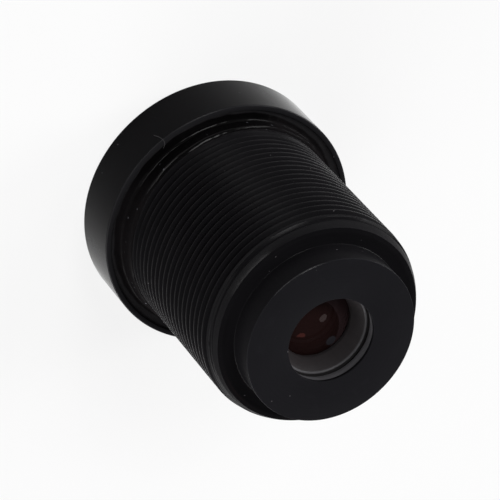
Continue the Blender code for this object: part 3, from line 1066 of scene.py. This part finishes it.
@dataclass
class Barrel:
    """M12 x 0.5 barrel with its neck, long chamfer, shoulder and nose."""

    thread_radius: float = 5.94
    pitch: float = 0.5
    depth: float = 0.27
    neck_top: float = 3.70
    run_in_turns: float = 0.9
    chamfer_end: float = 14.32
    chamfer_radius: float = 5.56
    chamfer_angle: float = math.radians(20.5)
    chamfer_length: float = 1.02
    chamfer_crown: float = 0.05
    polished_share: float = 0.8
    shoulder: float = 14.37
    shoulder_radius: float = 5.33
    nose_radius: float = 4.665
    nose_end: float = 15.94
    nose_hole: float = 2.38
    nose_lip: float = 15.74
    rear_bore: float = 3.3
    middle_bore: float = 4.05
    front_bore: float = 5.0
    groove_radius: float = 5.54
    groove_top: float = 2.03
    front: float = 1.47
    columns: int = 128
    flank_rows: int = 5
    retainer_drop: float = 0.72
    stop_gap: float = 0.02

    def form(self) -> list[tuple[float, float]]:
        """One pitch of the 60 degree thread with its small roundings.

        Returns:
            Places along the pitch with the share of the depth that is cut there.
        """
        crest_end, root_start, root_end = 0.125, 0.4375, 0.6875
        soft = 0.02
        edge, turning_in, nearly_down = 0.035, 0.925, 0.985
        flank = [0.07 + 0.82 * row / (self.flank_rows + 1)
                 for row in range(1, self.flank_rows + 1)]
        down = [(crest_end + (root_start - crest_end) * share, share) for share in flank]
        up = [(root_end + (1.0 - root_end) * (1 - share), share) for share in reversed(flank)]
        return [(0.0, edge), (soft, 0.0), (crest_end - soft, 0.0), (crest_end, edge), *down,
                (root_start - soft, turning_in), (root_start + soft, nearly_down),
                (root_start + 3 * soft, 1.0), (root_end - 3 * soft, 1.0),
                (root_end - soft, nearly_down), (root_end + soft, turning_in), *up, (1.0, edge)]

    def _sweep(self) -> bpy.types.Object:
        """Sweeps one pitch along the helix, past both ends of the thread.

        Returns:
            The helical sheet.
        """
        outline = self.form()
        turns = math.ceil((self.chamfer_end - self.neck_top) / self.pitch) + 3
        sheet = single_point(((self.thread_radius - self.depth * outline[0][1]) * MM, 0.0,
                              (self.neck_top - 2 * self.pitch) * MM))
        for (share, cut), (new_share, new_cut) in zip(outline, outline[1:]):
            bpy.ops.mesh.extrude_vertices_move(TRANSFORM_OT_translate={"value": (
                (cut - new_cut) * self.depth * MM, 0.0, (new_share - share) * self.pitch * MM)})
        bpy.ops.object.mode_set(mode="OBJECT")
        helix = sheet.modifiers.new("helix", "SCREW")
        helix.angle = math.tau
        helix.screw_offset = self.pitch * MM
        helix.iterations = turns
        helix.steps = helix.render_steps = self.columns
        helix.use_merge_vertices = True
        helix.merge_threshold = SAME_PLACE
        bpy.ops.object.modifier_apply(modifier=helix.name)
        return sheet

    def _trim(self, sheet: bpy.types.Object) -> None:
        """Fades the groove in at the neck, turns the chamfer and levels both ends.

        Args:
            sheet: the helical sheet, which ends with two round rims.
        """
        round_off = 1e-5
        for vertex in sheet.data.vertices:
            x, y, z = (part / MM for part in vertex.co)
            share = math.atan2(y, x) / math.tau % 1.0
            height = (z - self.neck_top) / self.pitch
            turns = share + math.floor(height - share + round_off)
            groove = self.thread_radius - math.hypot(x, y)
            radius = self.thread_radius - groove * min(1.0, max(0.0, turns / self.run_in_turns))
            z = min(max(z, self.neck_top), self.chamfer_end)
            radius = min(radius, self._cone(z))
            angle = math.tau * share
            vertex.co = Vector((radius * math.cos(angle), radius * math.sin(angle), z)) * MM
        close_and_face_out(sheet)

    def _cone(self, height: float) -> float:
        """Radius of the long chamfer, which is faintly crowned.

        Args:
            height: level on the axis.

        Returns:
            The chamfer's radius there, in millimetres.
        """
        down = self.chamfer_end - height
        share = min(1.0, down / self.chamfer_length)
        crown = 4 * self.chamfer_crown * share * (1 - share)
        return self.chamfer_radius + down * math.tan(self.chamfer_angle) + crown

    def outline(self) -> list[Corner]:
        """The rest of the barrel, from the thread's low rim through the bores to its high rim.

        Returns:
            Corners from rim to rim.
        """
        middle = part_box("inner_retaining_ring")[0].z / MM + self.retainer_drop
        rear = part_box("aperture_stop")[1].z / MM + self.stop_gap
        return [
            Corner(self.thread_radius, self.neck_top),
            Corner(self.thread_radius, self.front, 0.08),
            Corner(self.groove_radius, self.front, 0.03),
            Corner(self.groove_radius, self.groove_top, 0.05),
            Corner(self.front_bore, self.groove_top, 0.04),
            Corner(self.front_bore, middle),
            Corner(self.middle_bore, middle, 0.03),
            Corner(self.middle_bore, rear),
            Corner(self.rear_bore, rear, 0.03),
            Corner(self.rear_bore, self.nose_lip),
            Corner(self.nose_hole, self.nose_lip, 0.02),
            Corner(self.nose_hole, self.nose_end, 0.03),
            Corner(self.nose_radius, self.nose_end, 0.05),
            Corner(self.nose_radius, self.shoulder, 0.04),
            Corner(self.shoulder_radius, self.shoulder, 0.05),
            Corner(self.chamfer_radius, self.chamfer_end),
        ]

    def build(self) -> None:
        """Builds the barrel on a lathe with the thread's number of columns."""
        lathe = Lathe(self.columns)
        barrel = self._sweep()
        self._trim(barrel)
        corners = self.outline()
        pick_rings(barrel, corners[0])
        lathe.cut(corners)
        close_and_face_out(barrel)
        lathe.round_edges(barrel, corners)
        close_and_face_out(barrel)
        place_on_frame(barrel, "barrel_body", "barrel_anodised", self._finish(), "barrel")

    def _finish(self) -> AnodisedFinish:
        """Black metal whose crests, chamfer and edges shine, with a matte end face.

        Returns:
            The barrel's finish.
        """
        edges = (RubbedEdge(self.nose_radius - 0.02, self.nose_end - 0.02, 0.002, 0.03),
                 RubbedEdge(self.nose_radius + 0.02, self.shoulder + 0.02, 0.003, 0.006),
                 RubbedEdge(self.shoulder_radius + 0.05, self.shoulder - 0.01, 0.003, 0.01))
        return AnodisedFinish(
            "barrel_black", top_face_from=self.nose_end - 0.06, edges=edges,
            crest_radius=self.thread_radius, crest_grazing=1.1,
            polished=(self.chamfer_end - self.polished_share * self.chamfer_length,
                      self.chamfer_end),
            polished_radius=self.chamfer_radius, polished_growth=math.tan(self.chamfer_angle))


@dataclass
class Head:
    """Hood ring over the front of the barrel, with its stepped light hood."""

    radius: float = 7.0
    height: float = 3.13
    recess_radius: float = 6.7
    recess_floor: float = 2.78
    bore: float = 5.98
    seat: float = 1.45
    lip_radius: float = 4.75
    hood_depth: float = 1.15
    hood_rim: float = 0.8
    hood_steps: int = 3
    lathe: Lathe = Lathe(256)

    def build(self) -> None:
        """Builds the head."""
        corners = [
            Corner(self.radius, 0.0, 0.08),
            Corner(self.radius, self.height, 0.08),
            Corner(self.recess_radius, self.height, 0.03),
            Corner(self.recess_radius, self.recess_floor, 0.05),
            Corner(self.bore, self.recess_floor, 0.03),
            Corner(self.bore, self.seat),
            Corner(self.lip_radius, self.seat),
            Corner(self.lip_radius, self.hood_depth, 0.03),
        ]
        tread = (self.radius - self.hood_rim - self.lip_radius) / self.hood_steps
        for step in range(self.hood_steps):
            reach = self.lip_radius + tread * (step + 1)
            left = self.hood_steps - step
            corners.append(Corner(reach, self.hood_depth * left / self.hood_steps, 0.02))
            corners.append(Corner(reach, self.hood_depth * (left - 1) / self.hood_steps, 0.03))
        head = self.lathe.closed(corners)
        finish = AnodisedFinish(
            "head_black", colour=(0.0122, 0.0119, 0.0132), colour_below_top=(0.0029, 0.0027, 0.0032),
            top_face_from=self.height - 0.06, marks_per_mm=9.0, mark_contrast=0.12, grazing_gain=1.8,
            edges=(RubbedEdge(self.radius - 0.03, self.height - 0.03, 0.008),))
        place_on_frame(head, "head_hood", "head_anodised", finish, "front_head")


@dataclass(frozen=True)
class Wave:
    """Smooth noise through space: features in a millimetre, height and a shift of its origin."""

    per_mm: float
    height: float
    shift: tuple[float, float, float] = (0.0, 0.0, 0.0)

    def at(self, place: Vector) -> float:
        """Value of the noise at a place in millimetres."""
        return noise.noise(place * self.per_mm + Vector(self.shift)) * self.height


@dataclass
class Adhesive:
    """Glossy thread-locking adhesive: a pool in the head's recess and a film up the neck.

    The film's upper edge climbs towards top_side and sinks on the side across from it.
    """

    inner: float = 5.92
    outer: float = 6.69
    floor: float = 2.80
    low: float = 3.07
    creep: float = 0.03
    creep_width: float = 0.05
    foot: float = 0.18
    film: float = 0.15
    top: float = 3.73
    lip: float = 0.115
    lip_crown: float = 0.012
    top_slant: float = 0.20
    top_side: tuple[float, float] = (0.77, -0.64)
    tuck: float = 0.02
    foot_ripple: Wave = Wave(2.6, 0.03, (2.0, 5.0, 1.0))
    foot_ripple_height: float = 0.07
    foot_ripple_reach: float = 0.14
    swell: float = 0.05
    swell_waves: tuple[Wave, ...] = (Wave(0.55, 0.7), Wave(2.9, 0.25))
    bulge: float = 0.05
    bulge_waves: tuple[Wave, ...] = (Wave(1.1, 0.5), Wave(3.6, 0.25, (4.0, 1.0, 7.0)))
    deepest_hollow: float = -0.4
    pool_steps: int = 4
    foot_steps: int = 6
    film_steps: int = 6
    lip_steps: int = 6
    lathe: Lathe = Lathe(360)

    def outline(self) -> list[Corner]:
        """Section of the adhesive before its skin is uneven.

        Returns:
            Corners of the whole section, from the recess's floor out, up and in.
        """
        neck = self.inner + self.tuck + self.film
        shore = self.outer - self.creep_width
        corners = [Corner(self.inner, self.floor), Corner(self.outer, self.floor),
                   Corner(self.outer, self.low + self.creep), Corner(shore, self.low)]
        pool = shore - neck - self.foot
        corners += [Corner(shore - pool * step / self.pool_steps, self.low)
                    for step in range(1, self.pool_steps)]
        for step in range(self.foot_steps + 1):
            turn = math.pi / 2 * step / self.foot_steps
            corners.append(Corner(neck + self.foot * (1 - math.sin(turn)),
                                  self.low + self.foot * (1 - math.cos(turn))))
        rise = self.top - self.low - self.foot
        for step in range(1, self.film_steps + 1):
            corners.append(Corner(neck, self.low + self.foot + rise * step / self.film_steps))
        for step in range(1, self.lip_steps + 1):
            share = step / self.lip_steps
            crown = 4 * self.lip_crown * share * (1 - share)
            corners.append(Corner(neck - self.film * share + crown,
                                  self.top + self.lip * share + crown))
        return corners + [Corner(self.inner, self.top + self.lip)]

    def build(self) -> None:
        """Builds the adhesive with its uneven skin."""
        fillet = self.lathe.closed(self.outline())
        for vertex in fillet.data.vertices:
            place = vertex.co / MM
            if place.z > (self.floor + self.low) / 2:
                up, out = self._uneven(place)
                vertex.co = Vector((place.x * out, place.y * out, place.z + up)) * MM
        place_on_frame(fillet, "adhesive_fillet", "thread_adhesive",
                       AdhesiveFinish("adhesive_black"), "adhesive_bead")

    def _uneven(self, place: Vector) -> tuple[float, float]:
        """How the skin leaves its turned form at a place.

        Args:
            place: a place on the turned form, in millimetres.

        Returns:
            How far it rises, in millimetres, and the factor by which it moves outwards.
        """
        rise = min(1.0, (place.z - self.low) / self.foot)
        height = (place.z - self.low) / (self.top - self.low)
        towards = (place.x * self.top_side[0] + place.y * self.top_side[1]) / place.xy.length
        from_foot = abs(place.z - self.low - self.foot_ripple_height)
        near_foot = max(0.0, 1.0 - from_foot / self.foot_ripple_reach)
        swell = sum(wave.at(place) for wave in self.swell_waves)
        bulge = max(self.deepest_hollow, sum(wave.at(place) for wave in self.bulge_waves))
        up = (near_foot * self.foot_ripple.at(place) + self.swell * rise * swell
              + self.top_slant * towards * height ** 2)
        return up, 1.0 + self.bulge * bulge * rise / place.xy.length


@dataclass
class Fibre:
    """A curl of lint over the head's edge: its ends, and the point that bends it."""

    start: tuple[float, float, float] = (-0.18, -7.01, 2.35)
    pull: tuple[float, float, float] = (-0.62, -7.10, 3.55)
    end: tuple[float, float, float] = (-0.10, -6.58, 3.17)
    thickness: float = 0.028
    roundness: int = 2
    steps: int = 14

    def build(self) -> None:
        """Draws the path of the fibre and gives it a round section."""
        start, pull, end = (Vector(place) * MM for place in (self.start, self.pull, self.end))
        single_point(start)
        last = start
        for step in range(1, self.steps + 1):
            share = step / self.steps
            place = start.lerp(pull, share).lerp(pull.lerp(end, share), share)
            bpy.ops.mesh.extrude_vertices_move(TRANSFORM_OT_translate={"value": place - last})
            last = place
        bpy.ops.object.mode_set(mode="OBJECT")
        bpy.ops.object.convert(target="CURVE")
        fibre = bpy.context.object
        fibre.data.bevel_depth = self.thickness / 2 * MM
        fibre.data.bevel_resolution = self.roundness
        fibre.data.use_fill_caps = True
        bpy.ops.object.convert(target="MESH")
        close_and_face_out(fibre)
        place_on_frame(fibre, "lint_fibre", "head_anodised", LintFinish("lint"))


@dataclass
class NoseInsert:
    """Ring inside the nose, straight and then conical, down to the rear element."""

    outer: float = 3.26
    high: float = 15.71
    bore: float = 2.5
    step: float = 15.19
    relief: float = 2.62
    undercut: float = 0.04
    cone_radius: float = 2.39
    cone_high: float = 15.0
    opening: float = 1.93
    cone_low: float = 14.17
    low: float = 13.99
    lathe: Lathe = Lathe()

    def build(self) -> None:
        """Builds the ring."""
        corners = [
            Corner(self.outer, self.low), Corner(self.outer, self.high),
            Corner(self.bore, self.high, 0.02), Corner(self.bore, self.step, 0.01),
            Corner(self.relief, self.step - self.undercut),
            Corner(self.relief, self.cone_high),
            Corner(self.cone_radius, self.cone_high, 0.07),
            Corner(self.opening, self.cone_low, 0.02), Corner(self.opening, self.low)]
        place_on_frame(self.lathe.closed(corners), "nose_insert", "nose_ring_anodised",
                       NoseRingFinish("nose_ring_grey"), "nose_ring")


@dataclass
class RearElement:
    """Coated biconvex element that shows through the nose."""

    reach: float = 3.26
    front_bulge: float = 0.45
    rear_bulge: float = 1.07
    front_steps: int = 12
    rear_steps: int = 20
    lathe: Lathe = Lathe(128)

    def build(self) -> None:
        """Builds the element."""
        low, high = (corner.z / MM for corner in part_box("rear_lens"))
        front = Dome(self.reach, self.front_bulge).corners(low, 1, self.front_steps)
        rear = Dome(self.reach, self.rear_bulge).corners(high, -1, self.rear_steps)
        element = self.lathe.solid(front + rear[::-1])
        # The dark red body colour is a painted reflection of the coating; the stop's shade, the
        # paler zone and the lamp's small image are painted as well.
        finish = GlassFinish("rear_coated_glass_painted_reflection", coat=(1.0, 0.8, 0.78),
                             body=(0.0290, 0.0128, 0.0122), clear=0.25, gloss=0.06,
                             painted_stop_place=(0.9, -0.05), painted_stop_reach=2.05,
                             painted_ghost_place=(0.02, 1.60), painted_ghost_reach=0.34)
        place_on_frame(element, "rear_element", "rear_glass", finish, "rear_lens")


@dataclass
class FrontElement:
    """Negative meniscus behind the hood."""

    reach: float = 4.96
    bulge: float = 1.07
    seat_width: float = 1.65
    hollow: float = 1.19
    front_steps: int = 20
    rear_steps: int = 16
    lathe: Lathe = Lathe(128)

    def build(self) -> None:
        """Builds the element."""
        low, seat = (corner.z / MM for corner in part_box("front_lens"))
        front = Dome(self.reach, self.bulge).corners(low, 1, self.front_steps)
        mouth = Dome(self.reach - self.seat_width, self.hollow)
        rear = mouth.corners(seat - self.hollow, 1, self.rear_steps)
        element = self.lathe.solid(front + [Corner(self.reach, seat)] + rear[::-1])
        finish = GlassFinish("front_coated_glass", coat=(0.6, 0.8, 1.0))
        place_on_frame(element, "front_element", "front_glass", finish, "front_lens")


class InnerPart(Enum):
    """Finish of the CAD nodes that stay inside the barrel."""

    GLASS = GlassFinish("inner_coated_glass", coat=(0.7, 0.9, 0.8))
    METAL = AnodisedFinish("inner_black", colour=(0.006, 0.006, 0.006), gloss=0.02)
    FILM = DullFinish("baffle_film_black", colour=(0.003, 0.003, 0.003), roughness=0.9)
    RUBBER = DullFinish("o_ring_black")


INNER_NODES = {
    InnerPart.GLASS: ("second_lens", "third_lens", "doublet_crown", "doublet_flint"),
    InnerPart.METAL: ("inner_retaining_ring", "stop_front_spacer", "stop_rear_spacer",
                      "aperture_stop", "rear_spacer"),
    InnerPart.FILM: ("front_baffle", "second_baffle", "rear_baffle", "nose_baffle"),
    InnerPart.RUBBER: ("front_o_ring",),
}


def dress_inner_nodes() -> None:
    """Gives the CAD nodes that stay a finish of their own."""
    for part, names in INNER_NODES.items():
        material = part.value.material()
        for name in names:
            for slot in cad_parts[name].material_slots:
                slot.material = material
            LOG.info("%s: %s", name, part.name.lower())


# The studio

@dataclass(frozen=True)
class Lamp:
    """A soft round lamp, or a strip of some height, that faces the lens; sizes are metres."""

    name: str
    towards: tuple[float, float, float]
    width: float
    watts: float
    colour: Colour = (1.0, 1.0, 1.0)
    height: float = 0.0
    distance: float = 0.6

    def light(self, target: Vector) -> None:
        """Adds the lamp.

        Args:
            target: the point that it faces.
        """
        data = bpy.data.lights.new(self.name, "AREA")
        data.shape = "RECTANGLE" if self.height else "DISK"
        data.size = self.width
        data.size_y = self.height or self.width
        data.energy = self.watts
        data.color = self.colour
        lamp = bpy.data.objects.new(self.name, data)
        bpy.context.scene.collection.objects.link(lamp)
        away = Vector(self.towards).normalized()
        lamp.location = target + away * self.distance
        lamp.rotation_mode = "QUATERNION"
        lamp.rotation_quaternion = away.to_track_quat("Z", "Y")


@dataclass
class Studio:
    """White sweep, soft lamps and the camera of the photograph.

    Places and the camera's distance are in millimetres, its clip range is in metres.
    """

    aim: tuple[float, float, float] = (0.04, 0.0, 6.03)
    distance: float = 187.954
    elevation: float = math.radians(51.7619)
    roll: float = math.radians(138.3961)
    focal_length: float = 257.8732
    sensor_width: float = 36.0
    clip: tuple[float, float] = (0.01, 20.0)

    floor_radius: float = 1500.0
    floor_sides: int = 96
    paper: Colour = (0.79, 0.79, 0.79)
    paper_light: Colour = (0.81, 0.81, 0.81)
    pulp_per_mm: float = 0.4
    white_share: float = 0.8
    mirrored_share: float = 0.1
    room_light: float = 0.06
    horizon: tuple[float, float] = (0.03, 0.12)
    lamps_aim: tuple[float, float, float] = (0.0, 0.0, 10.0)

    def camera(self) -> None:
        """Sets the camera where the photograph was taken from."""
        data = bpy.data.cameras.new("photo_camera")
        data.sensor_width = self.sensor_width
        data.lens = self.focal_length
        data.clip_start, data.clip_end = self.clip
        camera = bpy.data.objects.new("photo_camera", data)
        bpy.context.scene.collection.objects.link(camera)
        back = Vector((0.0, -math.cos(self.elevation), math.sin(self.elevation)))
        up = Vector((0.0, math.sin(self.elevation), math.cos(self.elevation)))
        side = Vector((1.0, 0.0, 0.0))
        right = side * math.cos(self.roll) + up * math.sin(self.roll)
        top = up * math.cos(self.roll) - side * math.sin(self.roll)
        turn = Matrix((right, top, back)).transposed()
        spot = (Vector(self.aim) + back * self.distance) * MM
        camera.matrix_world = Matrix.Translation(spot) @ turn.to_4x4()
        bpy.context.scene.camera = camera

    @staticmethod
    def _seen(sheet: Sheet) -> tuple[Shade, Shade]:
        """Marks the rays that show the background.

        Args:
            sheet: the graph that asks.

        Returns:
            1 for the camera's own rays, and 1 for those from gloss or glass.
        """
        path = sheet.node("ShaderNodeLightPath")
        camera, glossy, through = (
            Shade(sheet, path.outputs[name])
            for name in ("Is Camera Ray", "Is Glossy Ray", "Is Transmission Ray"))
        return camera, glossy.at_least(through)

    def floor(self) -> None:
        """Lays the white sweep, which shows as white and keeps the lens's shadow."""
        deselect_all()
        bpy.ops.mesh.primitive_circle_add(
            vertices=self.floor_sides, radius=self.floor_radius * MM, fill_type="NGON")
        floor = bpy.context.object
        floor.name = "floor"
        bpy.ops.object.transform_apply(location=True, rotation=True, scale=True)
        made = bpy.data.materials.new("white_sweep")
        made.use_nodes = True
        sheet = Sheet(made.node_tree)
        pulp = sheet.cloud(sheet.place(), self.pulp_per_mm)
        colour = sheet.tint(pulp, self.paper, self.paper_light)
        matte = sheet.node("ShaderNodeBsdfDiffuse", None, {"Color": colour})
        white = sheet.node("ShaderNodeEmission", None, {"Color": (1, 1, 1, 1), "Strength": 1.0})
        camera, mirrored = self._seen(sheet)
        share = camera * self.white_share + mirrored * self.mirrored_share
        mixed = sheet.node("ShaderNodeMixShader", None, {
            0: share, 1: matte.outputs[0], 2: white.outputs[0]})
        sheet.node("ShaderNodeOutputMaterial", None, {"Surface": mixed.outputs[0]})
        made.cycles.emission_sampling = "NONE"
        floor.data.materials.append(made)

    def world(self) -> None:
        """Soft room light, which shows as white where the background does."""
        world = bpy.data.worlds.new("studio")
        bpy.context.scene.world = world
        world.use_nodes = True
        sheet = Sheet(world.node_tree)
        height = sheet.node("ShaderNodeSeparateXYZ", None, {
            0: sheet.node("ShaderNodeTexCoord").outputs["Generated"]}).outputs[2]
        backdrop = 1.0 - sheet.rise(Shade(sheet, height), *self.horizon)
        camera, mirrored = self._seen(sheet)
        white = camera.at_least(mirrored * backdrop)
        strength = self.room_light + white * (1.0 - self.room_light)
        sky = sheet.node("ShaderNodeBackground", None, {
            "Color": (1, 1, 1, 1), "Strength": strength})
        sheet.node("ShaderNodeOutputWorld", None, {"Surface": sky.outputs[0]})
        world.cycles.sampling_method = "NONE"

    def lamps(self) -> None:
        """Hangs the soft lamps, and the two small ones that the rear element mirrors."""
        target = Vector(self.lamps_aim) * MM
        for lamp in (
                Lamp("key", (-0.435, -0.435, 0.788), 0.25, 1.25),
                Lamp("bulb", (-0.435, -0.435, 0.788), 0.03, 0.12),
                Lamp("left", (-0.90, -0.10, 0.42), 0.25, 0.8),
                Lamp("back_left", (-0.75, 0.433, 0.5), 0.25, 0.6),
                Lamp("low_left", (-0.92, 0.37, 0.139), 0.25, 3.4),
                Lamp("back_right", (0.858, 0.495, 0.139), 0.45, 4.2),
                Lamp("back", (0.1, 0.98, 0.17), 0.3, 0.8),
                Lamp("side_right", (0.95, 0.0, 0.3), 0.45, 1.5),
                Lamp("high_right", (0.50, -0.20, 0.84), 0.4, 0.40),
                Lamp("front_strip", (0.24, -0.956, 0.16), 0.5, 0.8, height=0.05),
                Lamp("pale_spot", (-0.126, 0.626, 0.770), 0.08, 0.018),
                Lamp("warm_spot", (0.286, 0.62, 0.73), 0.08, 0.022, (1.0, 0.3, 0.25))):
            lamp.light(target)
            LOG.info("%s lamp", lamp.name)


def main() -> None:
    """Builds the lens and the studio."""
    logging.basicConfig(level=logging.INFO, format="%(name)s: %(message)s")
    bpy.context.scene.view_settings.view_transform = "Standard"
    studio = Studio()
    studio.camera()
    for piece in (Barrel(), Head(), Adhesive(), Fibre(), NoseInsert(), RearElement(),
                  FrontElement()):
        piece.build()
    dress_inner_nodes()
    studio.floor()
    studio.world()
    studio.lamps()


if __name__ == "__main__":
    main()
